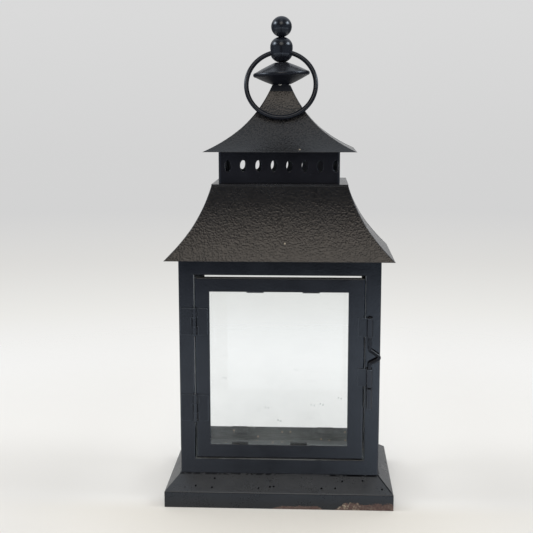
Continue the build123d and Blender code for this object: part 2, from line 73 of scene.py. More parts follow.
# Backdrop that the eye sees, and the room in front of the lantern that only gloss shows.
# Levels go by height, from -1 straight down to 1 straight up
AMBIENT = (0.80, 0.80, 0.80, 1.0)
BACKDROP = (
    (-0.45, (0.77, 0.765, 0.75)),
    (-0.385, (0.79, 0.785, 0.765)),
    (-0.33, (0.84, 0.84, 0.83)),
    (-0.249, (0.93, 0.93, 0.93)),
    (-0.201, (0.83, 0.825, 0.80)),
    (-0.153, (0.72, 0.713, 0.695)),
    (-0.105, (0.65, 0.65, 0.65)),
    (-0.05, (0.655, 0.655, 0.655)),
    (0.085, (0.70, 0.70, 0.70)),
    (0.40, (0.62, 0.64, 0.67)),
    (0.75, (0.64, 0.70, 0.78)),
    (1.0, (0.84, 0.92, 1.00)),
)
ROOM_MIDDLE = (
    (-0.45, (0.04, 0.04, 0.04)),
    (-0.355, (0.05, 0.05, 0.05)),
    (-0.335, (0.08, 0.08, 0.08)),
    (-0.310, (0.28, 0.28, 0.29)),
    (-0.285, (0.74, 0.76, 0.81)),
    (-0.25, (1.18, 1.24, 1.36)),
    (-0.22, (0.86, 0.93, 1.05)),
    (-0.19, (0.30, 0.33, 0.38)),
    (-0.16, (0.02, 0.022, 0.028)),
    (-0.06, (0.014, 0.016, 0.022)),
    (0.18, (0.010, 0.011, 0.014)),
    (0.31, (0.05, 0.045, 0.04)),
    (0.43, (0.54, 0.49, 0.44)),
    (0.62, (1.00, 0.94, 0.88)),
    (0.80, (0.84, 0.88, 0.93)),
    (1.0, (0.86, 0.94, 1.02)),
)
ROOM_SIDES = (
    (-0.45, (0.50, 0.53, 0.58)),
    (-0.355, (0.66, 0.69, 0.76)),
    (-0.315, (1.40, 1.46, 1.58)),
    (-0.285, (1.64, 1.72, 1.86)),
    (-0.22, (1.08, 1.17, 1.33)),
    (-0.19, (0.44, 0.49, 0.58)),
    (-0.16, (0.20, 0.23, 0.29)),
    (-0.06, (0.14, 0.16, 0.20)),
    (0.16, (0.08, 0.09, 0.11)),
    (0.30, (0.20, 0.20, 0.21)),
    (0.45, (0.44, 0.42, 0.42)),
    (0.62, (0.62, 0.61, 0.62)),
    (1.0, (0.84, 0.92, 1.00)),
)
SIDES_LEFT = (-0.02, -0.18)
SIDES_RIGHT = (0.01, 0.12)
BEHIND = (-0.25, 0.25)

# Dark walls high up, a glow at the level of the eye, and a sheen low on the right
SIDE_WALL = (0.06, 0.06, 0.065, 1.0)
WALL_SHARE = 0.85
WALL_ACROSS = (0.06, 0.34)
WALL_FOOT = (0.16, 0.30)
LEFT_GLOW = (0.40, 0.46, 0.56, 1.0)
RIGHT_GLOW = (0.28, 0.32, 0.38, 1.0)
GLOW_LEFT = (-0.15, -0.40)
GLOW_RIGHT = (0.12, 0.40)
GLOW_FOOT = (-0.20, -0.05)
GLOW_TOP = (0.40, 0.10)
RIGHT_SHEEN = (2.15, 2.38, 2.68, 1.0)
SHEEN_SHARE = 0.85
SHEEN_NEAR = (0.035, 0.075)
SHEEN_FAR = (0.30, 0.18)
SHEEN_FOOT = (-0.40, -0.35)
SHEEN_TOP = (-0.16, -0.24)

# Darker stretches of the backdrop beside the lantern, and a bright window on each side
BESIDE = (0.13, 0.145, 0.17, 1.0)
BESIDE_ACROSS = (0.12, 0.50)
BESIDE_FOOT = (-0.65, -0.50)
BESIDE_TOP = (0.45, 0.20)
WINDOW = (3.6, 3.9, 4.3, 1.0)
WINDOW_ACROSS = (0.60, 0.68)
WINDOW_FRONT = (-0.50, -0.40)
WINDOW_BACK = (0.30, 0.20)
WINDOW_FOOT = (0.28, 0.36)
WINDOW_TOP = (0.68, 0.58)

# Soft lamps, all aimed at the middle of the lantern
LAMP_AIM = Vector((0.0, 0.0, 0.16))
WARM = (1.0, 0.87, 0.72)
COOL = (0.92, 0.96, 1.0)
LAMPS = {
    "front_lamp": {"place": (0.0, -1.10, 1.14), "size": 0.8, "power": 3.5, "colour": WARM},
    "left_lamp": {"place": (-1.08, -0.10, 1.00), "size": 0.42, "power": 3.4, "colour": COOL},
    "right_lamp": {"place": (1.08, -0.10, 1.00), "size": 0.42, "power": 3.4, "colour": COOL},
}

# Paints and dirt, and colours of painted light and shade, as linear colours
BODY_BLACK = (0.0058, 0.0056, 0.0074, 1.0)
# Painted light: the band's black, lighter than the body's although it is the same paint
BAND_LIT_BLACK = (0.0098, 0.0097, 0.0125, 1.0)
# Painted light: the plinth's black, lighter than the body's
PLINTH_LIT_BLACK = (0.0140, 0.0143, 0.0165, 1.0)
FINIAL_BLACK = (0.0080, 0.0088, 0.0125, 1.0)
ROOF_CHARCOAL = (0.0036, 0.0038, 0.0048, 1.0)
# Painted light: the upper roof's charcoal, lighter than the lower roof's same paint
UPPER_LIT_CHARCOAL = (0.0058, 0.0062, 0.0076, 1.0)
# Warm painted highlight on the crests of the roofs' wrinkles
CREST_HIGHLIGHT_BROWN = (0.092, 0.084, 0.078, 1.0)
# Painted light: a bluish light on the jambs of the door, seen in the gaps around it
JAMB_PAINTED_LIGHT_BLUE = (0.095, 0.155, 0.25, 1.0)
# Bluish tone along rounded edges: partly wear, partly a painted highlight
WORN_AND_HIGHLIGHT_BLUE = (0.15, 0.175, 0.21, 1.0)
BLUE_SHEEN = (0.84, 0.92, 1.0, 1.0)
# Black of the pits and of the ragged line along the body, also used for painted shade in the jambs
# and in the mitre
PIT_AND_SHADE_BLACK = (0.003, 0.003, 0.0035, 1.0)
DUST_GREY = (0.17, 0.165, 0.155, 1.0)
DUSTY_CLIP = (0.060, 0.064, 0.064, 1.0)
# Pale tone inside the body: dust low down and on the sill; in the film over every inside face it is
# partly dust, partly painted light
INSIDE_DUST_AND_LIGHT = (0.19, 0.205, 0.205, 1.0)
# Painted light: pale inside of the pierced band
INSIDE_LIT_PALE = (0.15, 0.16, 0.18, 1.0)
RUST_BROWN = (0.098, 0.056, 0.047, 1.0)
PRIMER_BEIGE = (0.36, 0.31, 0.235, 1.0)
# Painted glint: the pale spot on the bead under the saucer
GLINT_PALE = (0.62, 0.60, 0.55, 1.0)
STEEL_GREY = (0.36, 0.36, 0.37, 1.0)
GLASS_TINT = (0.992, 0.998, 0.999, 1.0)
GLASS_DUST = (0.55, 0.58, 0.58, 1.0)

# Grain of all paint: sizes of its lumps, what they do to tone and roughness, and its orange peel
EDGE_RADIUS = 0.45 * MM
EDGE_SAMPLES = 4
EDGE_TURN = (0.01, 0.16)
EDGE_SMOOTH = 0.06
CLOUD_SIZE = 28 * MM
CLOUD_DARK = 0.86
CLOUD_LIGHT = 1.16
PATCH_SIZE = 14 * MM
PATCH_ROUGH = 0.14
GRIT_SIZE = 0.8 * MM
GRIT_ROUGH = 0.16
FILM_COARSE = 11 * MM
FILM_FINE = 1.6 * MM
FILM_FINE_SHARE = 0.9
FACING_UP = (0.25, 0.95)
SPECK_CELL = 3.4 * MM
SPECK_DUST = 0.10
PEEL_SIZE = 1.1 * MM
WIRE_PEEL = 0.02 * MM
BODY_PEEL = 0.025 * MM
HARDWARE_PEEL = 0.03 * MM
SHEET_PEEL = 0.05 * MM

# Heights over which the gloss of the upright faces changes, and by how much
PLINTH_TOP = (18.5 * MM, 20.5 * MM)
DULL_LOW = (75 * MM, 25 * MM)
DULL_ROUGH = 0.01
SHINY_HIGH = (125 * MM, 160 * MM)
SHINY_SMOOTH = 0.04

# Hammered roofs: wrinkles, a painted highlight on their crests that is strongest in a belt of each
# roof, two bare specks
WARP_SIZE = 2.6 * MM
WARP_REACH = 1.0 * MM
WRINKLE_SIZE = 1.15 * MM
WRINKLE_SHARE = 0.75
WRINKLE_FINE = 0.7 * MM
WRINKLE_DEPTH = 0.12 * MM
CREST = (0.25, 0.65)
CREST_REST = 0.6
CREST_HIGHLIGHT_SHARE = 0.11
LOWER_BELT_FOOT = (174 * MM, 194 * MM)
LOWER_BELT_TOP = (212 * MM, 196 * MM)
UPPER_BELT_FOOT = (242 * MM, 256 * MM)
UPPER_BELT_TOP = (273 * MM, 264 * MM)
LOWER_SPECK = ((3.75 * MM, -40.6 * MM, 180.75 * MM), 0.75 * MM)
UPPER_SPECK = ((13.25 * MM, -33.9 * MM, 242.25 * MM), 0.8 * MM)
SPECK_BARE = 0.8

# Inside of the body: its walls under a pale film, partly dust and partly painted light, the dust low
# down, the sill, and the jambs of the door with painted light and painted shade
INSIDE_FRONT = (-34.2 * MM, -33.6 * MM)
INSIDE_BACK = (34.5 * MM, 34.1 * MM)
INSIDE_SIDES = (67.8 * MM, 67.4 * MM)
# Share of the pale film on every inside face, partly dust and partly painted light
INSIDE_FILM = 0.20
DUST_TOP = (33 * MM, 29 * MM)
DUST_LEAST = 0.34
DUST_ROUGH = 0.4
STREAK_STRETCH = (0.12, 1.0, 1.0)
STREAK_SIZE = 1.3 * MM
STREAK_DUST = 0.40
DRIFT_SIZE = 8 * MM
DRIFT_DUST = 0.32
CRUMB_CELL = 6 * MM
SILL_FOOT = (29.2 * MM, 29.7 * MM)
SILL_TOP = (30.8 * MM, 30.4 * MM)
SILL_BACK = (-32.0 * MM, -33.0 * MM)
SILL_LEFT = (-58.5 * MM, -57.5 * MM)
SILL_RIGHT = (42 * MM, 22 * MM)
SILL_PATCH = 9 * MM
SILL_DUST = 0.36
JAMB_FACING = (0.75, 0.95)
JAMB_SIDES = (60 * MM, 59 * MM)
JAMB_BACK = (-28 * MM, -29 * MM)
# Heights below which the jambs are painted black as shade
JAMB_SHADE_LOW = (66 * MM, 56 * MM)
# Share of the painted bluish light on the jambs
JAMB_LIGHT_SHARE = 0.40
JAMB_ROUGH = 0.26

# Inside of the pierced band, made pale as painted light
BAND_MIDDLE = -0.6 * MM
BAND_SIDES = (40.0 * MM, 39.6 * MM)
BAND_FACES = (26.5 * MM, 26.1 * MM)
BAND_INSIDE_ROUGH = 0.4

# Slope of the plinth: pits, and a ragged dark seam along the body, faint in the middle
SLOPE_FOOT = (11.2 * MM, 12.2 * MM)
PIT_CELL = 5.6 * MM
PIT_DEPTH = 0.3 * MM
GRAIN_CELL = 3.8 * MM
GRAIN_SHARE = 0.7
BLACKENED_ROUGH = 0.4
RAGGED_SIZE = 3.5 * MM
SEAM_FOOT = (18.55 * MM, 18.9 * MM)
SEAM_RAGGED = (0.42, 0.50)
SEAM_LEFT = 0.75
SEAM_FAINT = (-6 * MM, 4 * MM)
SEAM_LESS = 0.60
SEAM_STRONG = (26 * MM, 36 * MM)
SEAM_MORE = 0.85
SEAM_DARK = 0.92

# Painted shadow in the mitres of the plinth: from the corner of the body outwards along the hip, on
# the right only
BODY_CORNER = (68.1 * MM, 35.0 * MM)
HIP_WAY = Vector((9.7, 15.0)).normalized()
MITRE_HALF = (0.85 * MM, 0.4 * MM)
MITRE_RAGGED = (0.34, 0.44)
MITRE_RIGHT = (-30 * MM, 30 * MM)
MITRE_SHADE = 0.85

# Skirt of the plinth: two chips at its lower edge, and a rubbed corner at its right end
SMALL_CHIP = {"middle": 13 * MM, "half": 19 * MM, "tall": 3.1 * MM}
LARGE_CHIP = {"middle": 61 * MM, "half": 24 * MM, "tall": 6.2 * MM}
CHIP_ENDS = (0.0, 0.35)
CHIP_EDGE = (-0.3 * MM, 0.4 * MM)
CHIP_DEPTH = 0.12 * MM
CHIP_RAGGED = 4 * MM
CHIP_USUAL = 0.72
CHIP_UNEVEN = 1.5
CHIP_PATCH = 2.4 * MM
CHIP_DARK = 1.3 * MM
CHIP_DARKEST = 0.5
CHIP_ROUGH = 0.35
PRIMER_SIDE = (58 * MM, 50 * MM)
PRIMER_MORE = 0.9
PRIMER_LEAST = 0.22
RUBBED_FRONT = (-32 * MM, -48 * MM)
RUBBED_TOP = (12 * MM, 3 * MM)
RUBBED_PATCH = 6 * MM
RUBBED_GAIN = 1.3
RUBBED_EDGE = (0.3, 0.7)
RUBBED_ROUGH = 0.3

# Glass: how much it mirrors, straight on and aslant, and the dust on it
MIRROR_STRAIGHT = 0.018
MIRROR_ASLANT = 0.98
MIRROR_POWER = 5.0
MIRROR_ROUGHNESS = 0.02
GLASS_FILM = 0.003
GLASS_LOW = (95 * MM, 40 * MM)
GLASS_LOW_GAIN = 2.0
GLASS_SMEAR = 24 * MM
GLASS_SMEAR_DUST = 0.012
GLASS_SPECK_CELL = 11 * MM
GLASS_SPECK_DUST = 0.03
GLASS_SPECK_LOW = 0.22

# Bare steel
STEEL_PATCH = 6 * MM
STEEL_DARK = 0.6
STEEL_ROUGHNESS = 0.3
TURNED_SIZE = 0.35 * MM
TURNED_ROUGH = 0.25

# Bead of solder under the saucer, with a pale spot on it that is a painted glint
BEAD_PLACE = (0.0, 0.0, 284.66 * MM)
BEAD_RADIUS = 5.0 * MM
BEAD_WIRE = 0.36 * MM
BEAD_WIRE_SEGMENTS = 14
BEAD_STEPS = 64
MERGE_WITHIN = 0.001 * MM
BEAD_LEAN = math.radians(1.5)
BEAD_GLINT = -0.75 * MM
BEAD_GLINT_HALF = (1.25 * MM, 0.8 * MM)
BEAD_GLINT_FRONT = (-4.0 * MM, -4.6 * MM)
BEAD_PATCH = 0.8 * MM
BEAD_GRAIN = 0.6 * MM
BEAD_GRAIN_ROUGH = 0.2
BEAD_ROUGHNESS = 0.45


class Wire:
    """An output in a node tree: sums with numbers or other wires add Math nodes."""

    def __init__(self, tree, socket=None):
        self.tree = tree
        self.socket = socket

    def node(self, kind, settings=None, sockets=None, out=0):
        """Adds a node, sets it up, fills or joins its sockets and gives one of its outputs."""
        made = self.tree.nodes.new("ShaderNode" + kind)
        for name, value in (settings or {}).items():
            if name == "stops":
                ramp = made.color_ramp.elements
                while len(ramp) < len(value):
                    ramp.new(0.5)
                for stop, (place, colour) in zip(ramp, value):
                    stop.position = place
                    stop.color = colour
            else:
                setattr(made, name, value)
        for name, value in (sockets or {}).items():
            if isinstance(value, Wire):
                self.tree.links.new(value.socket, made.inputs[name])
            else:
                made.inputs[name].default_value = value
        return Wire(self.tree, made.outputs[out]) if made.outputs else None

    def maths(self, operation, first, second=0.0):
        """Adds one Math node."""
        return self.node("Math", {"operation": operation}, {0: first, 1: second})

    def __add__(self, other):
        return self.maths("ADD", self, other)

    def __sub__(self, other):
        return self.maths("SUBTRACT", self, other)

    def __rsub__(self, other):
        return self.maths("SUBTRACT", other, self)

    def __mul__(self, other):
        return self.maths("MULTIPLY", self, other)

    def __truediv__(self, other):
        return self.maths("DIVIDE", self, other)

    def __pow__(self, other):
        return self.maths("POWER", self, other)

    def __abs__(self):
        return self.maths("ABSOLUTE", self)

    __radd__ = __add__
    __rmul__ = __mul__

    def most(self, other):
        """The larger of the two."""
        return self.maths("MAXIMUM", self, other)

    def rise(self, low, high):
        """0 below low, 1 above high, with a smooth step between; low may be the larger."""
        return self.node(
            "MapRange",
            {"interpolation_type": "SMOOTHSTEP"},
            {"Value": self, "From Min": low, "From Max": high},
        )

    def blend(self, first, second):
        """A colour from first to second as this goes from 0 to 1."""
        return self.node("Mix", {"data_type": "RGBA"}, {0: self, 6: first, 7: second}, out=2)

    def axes(self):
        """The three numbers of a vector."""
        return [self.node("SeparateXYZ", sockets={0: self}, out=axis) for axis in range(3)]

    def noise(self, size, detail=2.0, roughness=0.5, out=0):
        """Cloudy noise on these coordinates, with lumps of a size in metres."""
        return self.node(
            "TexNoise",
            sockets={"Vector": self, "Scale": 1 / size, "Detail": detail, "Roughness": roughness},
            out=out,
        )

    def cells(self, size, out="Distance", feature="F1", span="3D"):
        """Scattered cells on these coordinates, of a size in metres."""
        return self.node(
            "TexVoronoi",
            {"feature": feature, "voronoi_dimensions": span},
            {"Vector": self, "Scale": 1 / size},
            out=out,
        )

    def dots(self, size, edge, chosen, axis, span="2D"):
        """Round dots, one in each cell whose random colour is high enough on one axis."""
        picked = self.cells(size, "Color", span=span).axes()[axis].rise(*chosen)
        return self.cells(size, span=span).rise(*edge) * picked


def overlap(*fades):
    """Mask of where several fades are all full, each given as a value and its pair of numbers."""
    mask, *others = [value.rise(*fade) for value, fade in fades]
    for other in others:
        mask = mask * other
    return mask


def shade(colour, share):
    """A colour made darker or lighter."""
    return [share * channel for channel in colour[:3]] + [1.0]


def start_material(name):
    """A new material, a wire to add its nodes with, and the coordinates of the piece."""
    material = bpy.data.materials.new(name)
    material.use_nodes = True
    material.node_tree.nodes.clear()
    wire = Wire(material.node_tree)
    return material, wire, wire.node("TexCoord", out="Object")


def end_material(material, wire, shader):
    """Joins the finished shader to the material's output."""
    wire.node("OutputMaterial", sockets={"Surface": shader})
    return material


def facing(wire):
    """The way that the bare surface faces."""
    return wire.node("NewGeometry", out="Normal")


def soft_edges(wire):
    """Normals rounded at the edges of the sheet, and a mask of where they are."""
    rounded = wire.node("Bevel", {"samples": EDGE_SAMPLES}, {"Radius": EDGE_RADIUS})
    match = wire.node(
        "VectorMath", {"operation": "DOT_PRODUCT"}, {0: rounded, 1: facing(wire)}, out="Value"
    )
    return rounded, (1 - match).rise(*EDGE_TURN)


def relief(wire, height, depth, normal):
    """A surface raised by height, from 0 to 1, times a depth in metres."""
    return wire.node("Bump", sockets={"Height": height, "Distance": depth, "Normal": normal})


def paint_coat(wire, place, colour, settled):
    """Tone and grit of a coat of paint, and the share of dust that has settled on it."""
    clouds = place.noise(CLOUD_SIZE, 4.0, 0.6).rise(0.3, 0.7)
    tone = clouds.blend(shade(colour, CLOUD_DARK), shade(colour, CLOUD_LIGHT))
    grit = place.noise(GRIT_SIZE, 3.0, 0.6)
    specks = place.dots(SPECK_CELL, edge=(0.10, 0.05), chosen=(0.86, 0.94), axis=0, span="3D")
    fine = (place.noise(FILM_FINE, 4.0, 0.7) - 0.5) * FILM_FINE_SHARE
    film = fine + place.noise(FILM_COARSE, 4.0, 0.65) + 0.5
    dust = facing(wire).axes()[2].rise(*FACING_UP) * film * settled + specks * SPECK_DUST
    return tone, grit, dust


def painted(
    name,
    colour,
    roughness,
    peel,
    mark=None,
    lumps=None,
    sheen=BLUE_SHEEN,
    settled=0.10,
    shine=0.5,
    worn_and_lit=0.10,
    folded=True,
):
    """Satin paint with orange peel and dust. Folded sheet gets soft rounded edges, lightened bluish
    as wear and as a painted highlight. Lumps give a grain, with a painted highlight on its crests,
    and a mark adds what one place shows."""
    material, wire, place = start_material(name)
    tone, grit, dust = paint_coat(wire, place, colour, settled)
    tone = dust.blend(tone, DUST_GREY)
    rounded, edge = facing(wire), 0.0
    if folded:
        rounded, edge = soft_edges(wire)
        # Edges lightened bluish: partly wear, partly a painted highlight
        tone = (edge * worn_and_lit).blend(tone, WORN_AND_HIGHLIGHT_BLUE)
    height = place.axes()[2]
    dull = overlap((height, DULL_LOW), (height, PLINTH_TOP)) * DULL_ROUGH
    shiny = height.rise(*SHINY_HIGH) * SHINY_SMOOTH + edge * EDGE_SMOOTH
    patches = (place.noise(PATCH_SIZE, 3.0) - 0.5) * PATCH_ROUGH
    rough = roughness + dull - shiny + (grit - 0.5) * GRIT_ROUGH + patches
    normal = relief(wire, place.noise(PEEL_SIZE, 2.0), peel, rounded)
    if lumps:
        normal, crest_highlight = lumps(wire, place, normal)
        # Painted highlight on the crests of the wrinkles
        tone = (crest_highlight * CREST_HIGHLIGHT_SHARE).blend(tone, CREST_HIGHLIGHT_BROWN)
    hollow = 0.0
    if mark:
        tone, rough, normal, hollow = mark(wire, place, tone, rough, normal)
    shader = wire.node(
        "BsdfPrincipled",
        sockets={
            "Base Color": tone,
            "Metallic": hollow,
            "Roughness": rough,
            "Normal": normal,
            "Specular IOR Level": shine,
            "Specular Tint": sheen,
        },
    )
    return end_material(material, wire, shader)


def hammered(wire, place, normal):
    """Close worm-like wrinkles of a hammered paint, never in rows, and a mask of their crests for a
    painted highlight, strongest in a belt of each roof.
    """
    warp = place.noise(WARP_SIZE, 2.0, out="Color")
    bent = place.node(
        "VectorMath", {"operation": "MULTIPLY_ADD"}, {0: warp, 1: (WARP_REACH,) * 3, 2: place}
    )
    wrinkles = bent.cells(WRINKLE_SIZE, feature="SMOOTH_F1").rise(0.05, 0.75)
    fine = place.noise(WRINKLE_FINE, 3.0, 0.6)
    raised = wrinkles * WRINKLE_SHARE + fine * (1 - WRINKLE_SHARE)
    height = place.axes()[2]
    lower_belt = overlap((height, LOWER_BELT_FOOT), (height, LOWER_BELT_TOP))
    upper_belt = overlap((height, UPPER_BELT_FOOT), (height, UPPER_BELT_TOP))
    # The painted highlight on the crests is strongest in a belt of each roof
    crest_highlight = raised.rise(*CREST) * (CREST_REST + lower_belt + upper_belt)
    return relief(wire, raised, WRINKLE_DEPTH, normal), crest_highlight


def fleck(place, middle, size):
    """Mask of one small round mark."""
    away = place.node("VectorMath", {"operation": "DISTANCE"}, {0: place, 1: middle}, out="Value")
    return away.rise(size, 0.5 * size)


def roof_marks(wire, place, tone, rough, normal):
    """Two specks on the front of the roofs, where the paint is knocked off."""
    marked = fleck(place, *LOWER_SPECK).most(fleck(place, *UPPER_SPECK))
    return (marked * SPECK_BARE).blend(tone, PRIMER_BEIGE), rough, normal, 0.0


def inside_dust_and_painted_light(wire, place, tone, rough, normal):
    """The inside of the body: a pale film, partly dust and partly painted light, with streaks of
    dust and pale crumbs low down.
    The door's sill is dusty, and its jambs are rough, with painted bluish light on them and painted
    shade low down."""
    across, depth, height = place.axes()
    within = overlap((depth, INSIDE_FRONT), (depth, INSIDE_BACK), (abs(across), INSIDE_SIDES))
    # Pale film on every inside face: partly dust, partly painted light
    tone = (within * INSIDE_FILM).blend(tone, INSIDE_DUST_AND_LIGHT)
    low = within * height.rise(*DUST_TOP)
    stretched = place.node("Mapping", sockets={"Vector": place, "Scale": STREAK_STRETCH})
    streaks = stretched.noise(STREAK_SIZE, 4.0, 0.75).rise(0.34, 0.66)
    drifts = place.noise(DRIFT_SIZE, 3.0).rise(0.3, 0.7)
    layer = low * (DUST_LEAST + streaks * STREAK_DUST + drifts * DRIFT_DUST)
    spread = wire.node("CombineXYZ", sockets={0: across, 1: depth + height})
    crumbs = low * spread.dots(CRUMB_CELL, edge=(0.17, 0.10), chosen=(0.74, 0.80), axis=0)
    tone = crumbs.blend(layer.blend(tone, INSIDE_DUST_AND_LIGHT), PRIMER_BEIGE)
    sill = overlap(
        (height, SILL_FOOT),
        (height, SILL_TOP),
        (depth, SILL_BACK),
        (across, SILL_LEFT),
        (across, SILL_RIGHT),
        (place.noise(SILL_PATCH, 3.0), (0.25, 0.6)),
    )
    tone = (sill * SILL_DUST).blend(tone, INSIDE_DUST_AND_LIGHT)
    sideways = abs(facing(wire).axes()[0])
    jamb = overlap((sideways, JAMB_FACING), (abs(across), JAMB_SIDES), (depth, JAMB_BACK))
    # Painted light: the jambs tinted bluish
    tone = (jamb * JAMB_LIGHT_SHARE).blend(tone, JAMB_PAINTED_LIGHT_BLUE)
    # Painted shade: the jambs black low down, where the gaps are in shadow
    blackened = jamb * height.rise(*JAMB_SHADE_LOW)
    tone = blackened.blend(tone, PIT_AND_SHADE_BLACK)
    return tone, rough + layer * DUST_ROUGH + jamb * JAMB_ROUGH, normal, blackened


def lit_band_inside(wire, place, tone, rough, normal):
    """The pierced band: its inside is pale, painted light for the light that comes in through the
    vents.
    """
    across, depth, _ = place.axes()
    within = overlap((abs(across - BAND_MIDDLE), BAND_SIDES), (abs(depth), BAND_FACES))
    # Painted light: the band's inside made pale
    return within.blend(tone, INSIDE_LIT_PALE), rough + within * BAND_INSIDE_ROUGH, normal, 0.0


def pits(wire, place, tone, rough, normal):
    """The plinth's slope: small black pits, a ragged dark line along the body, and a painted shadow
    in the mitre on the right.
    """
    across, depth, height = place.axes()
    sloping = height.rise(*SLOPE_FOOT)
    holes = place.dots(PIT_CELL, edge=(0.15, 0.10), chosen=(0.74, 0.76), axis=1)
    grains = place.dots(GRAIN_CELL, edge=(0.10, 0.05), chosen=(0.80, 0.84), axis=2)
    holes = holes.most(grains * GRAIN_SHARE) * sloping
    ragged = place.noise(RAGGED_SIZE, 4.0, 0.7)
    fainter = across.rise(*SEAM_FAINT) * SEAM_LESS
    stronger = across.rise(*SEAM_STRONG) * SEAM_MORE
    # A ragged dark line along the body at the top of the slope
    seam = overlap((height, SEAM_FOOT), (ragged, SEAM_RAGGED)) * (SEAM_LEFT - fainter + stronger)
    past_side = abs(across) - BODY_CORNER[0]
    past_front = abs(depth) - BODY_CORNER[1]
    off_hip = abs(past_side * HIP_WAY[1] - past_front * HIP_WAY[0])
    # Painted shadow in the mitre on the right
    mitre_shade = overlap((off_hip, MITRE_HALF), (ragged, MITRE_RAGGED), (across, MITRE_RIGHT)) * sloping
    blackened = holes.most(seam * SEAM_DARK).most(mitre_shade * MITRE_SHADE)
    tone = blackened.blend(tone, PIT_AND_SHADE_BLACK)
    return tone, rough + blackened * BLACKENED_ROUGH, relief(wire, 1 - holes, PIT_DEPTH, normal), blackened


def chip(place, middle, half, tall):
    """Mask of a ragged chip along the skirt's lower edge, around a place along X."""
    along, _, height = place.axes()
    ragged = (place.noise(CHIP_RAGGED, 5.0, 0.75) - 0.5) * CHIP_UNEVEN
    ends = (1 - abs(along - middle) / half).rise(*CHIP_ENDS)
    top = ends * (CHIP_USUAL + ragged) * tall
    return (top - height).rise(*CHIP_EDGE)


def chipped(wire, place, tone, rough, normal):
    """The front of the plinth: pits above, paint lost to rust and primer along the lower edge."""
    tone, rough, normal, hollow = pits(wire, place, tone, rough, normal)
    small = chip(place, **SMALL_CHIP)
    large = chip(place, **LARGE_CHIP)
    patches = place.noise(CHIP_PATCH, 4.0, 0.7).rise(0.46, 0.66)
    primed = place.axes()[0].rise(*PRIMER_SIDE) * large * PRIMER_MORE + PRIMER_LEAST
    stain = (patches * primed).blend(RUST_BROWN, PRIMER_BEIGE)
    dark = place.noise(CHIP_DARK, 3.0, 0.7).rise(0.45, 0.75) * CHIP_DARKEST
    marked = small.most(large)
    tone = marked.blend(tone, dark.blend(stain, BODY_BLACK))
    return tone, rough + marked * CHIP_ROUGH, relief(wire, 1 - marked, CHIP_DEPTH, normal), hollow


def rubbed(wire, place, tone, rough, normal):
    """The right end of the plinth: brown at its front corner, where the paint is rubbed."""
    tone, rough, normal, hollow = pits(wire, place, tone, rough, normal)
    _, depth, height = place.axes()
    near = overlap((depth, RUBBED_FRONT), (height, RUBBED_TOP))
    patches = place.noise(RUBBED_PATCH, 4.0, 0.7) * RUBBED_GAIN
    marked = (near * patches).rise(*RUBBED_EDGE)
    return marked.blend(tone, RUST_BROWN), rough + marked * RUBBED_ROUGH, normal, hollow


def plain_steel():
    """Rod and nut inside the apex, not painted."""
    material, wire, place = start_material("plain_steel")
    patches = place.noise(STEEL_PATCH, 3.0).rise(0.3, 0.8)
    tone = patches.blend(STEEL_GREY, shade(STEEL_GREY, STEEL_DARK))
    rough = STEEL_ROUGHNESS + place.noise(TURNED_SIZE, 2.0) * TURNED_ROUGH
    shader = wire.node(
        "BsdfPrincipled", sockets={"Base Color": tone, "Metallic": 1.0, "Roughness": rough}
    )
    return end_material(material, wire, shader)


def sheet_glass():
    """Clear panes: what is behind shows through a thin film of dust, with more of it low down."""
    material, wire, place = start_material("sheet_glass")
    aslant = wire.node("LayerWeight", sockets={"Blend": 0.5}, out="Facing")
    mirror = aslant**MIRROR_POWER * MIRROR_ASLANT + MIRROR_STRAIGHT
    clear = wire.node("BsdfTransparent", sockets={"Color": GLASS_TINT})
    gloss = wire.node("BsdfGlossy", sockets={"Color": WHITE, "Roughness": MIRROR_ROUGHNESS})
    pane = wire.node("MixShader", sockets={0: mirror, 1: clear, 2: gloss})
    across, depth, height = place.axes()
    low = height.rise(*GLASS_LOW)
    smear = place.noise(GLASS_SMEAR, 4.0, 0.6).rise(0.42, 0.75)
    spread = wire.node("CombineXYZ", sockets={0: across + depth, 1: height})
    specks = spread.dots(GLASS_SPECK_CELL, edge=(0.10, 0.05), chosen=(0.84, 0.90), axis=2)
    film = (smear * GLASS_SMEAR_DUST + GLASS_FILM) * (1 + low * GLASS_LOW_GAIN)
    film = film + specks * (GLASS_SPECK_DUST + low * GLASS_SPECK_LOW)
    dust = wire.node("BsdfDiffuse", sockets={"Color": GLASS_DUST})
    shader = wire.node("MixShader", sockets={0: film, 1: pane, 2: dust})
    return end_material(material, wire, shader)


def roof_finish(name, colour, roughness, shine):
    """Hammered paint of a roof."""
    return painted(
        name,
        colour,
        roughness,
        SHEET_PEEL,
        mark=roof_marks,
        lumps=hammered,
        sheen=WHITE,
        settled=0.02,
        shine=shine,
    )


def body_finish(name, colour, mark):
    """Smooth satin paint of the body and of the pierced band."""
    return painted(name, colour, roughness=0.18, peel=BODY_PEEL, mark=mark, settled=0.22)


def plinth_finish(name, mark):
    """Paint of the plinth, duller and coarser than the body's, and lighter as painted light."""
    return painted(name, PLINTH_LIT_BLACK, roughness=0.30, peel=SHEET_PEEL, mark=mark, settled=0.14)


def smooth_finish(name, colour, roughness, shine, settled=0.0, peel=HARDWARE_PEEL):
    """Paint of pieces that have no folded edges."""
    return painted(name, colour, roughness, peel, settled=settled, shine=shine, folded=False)


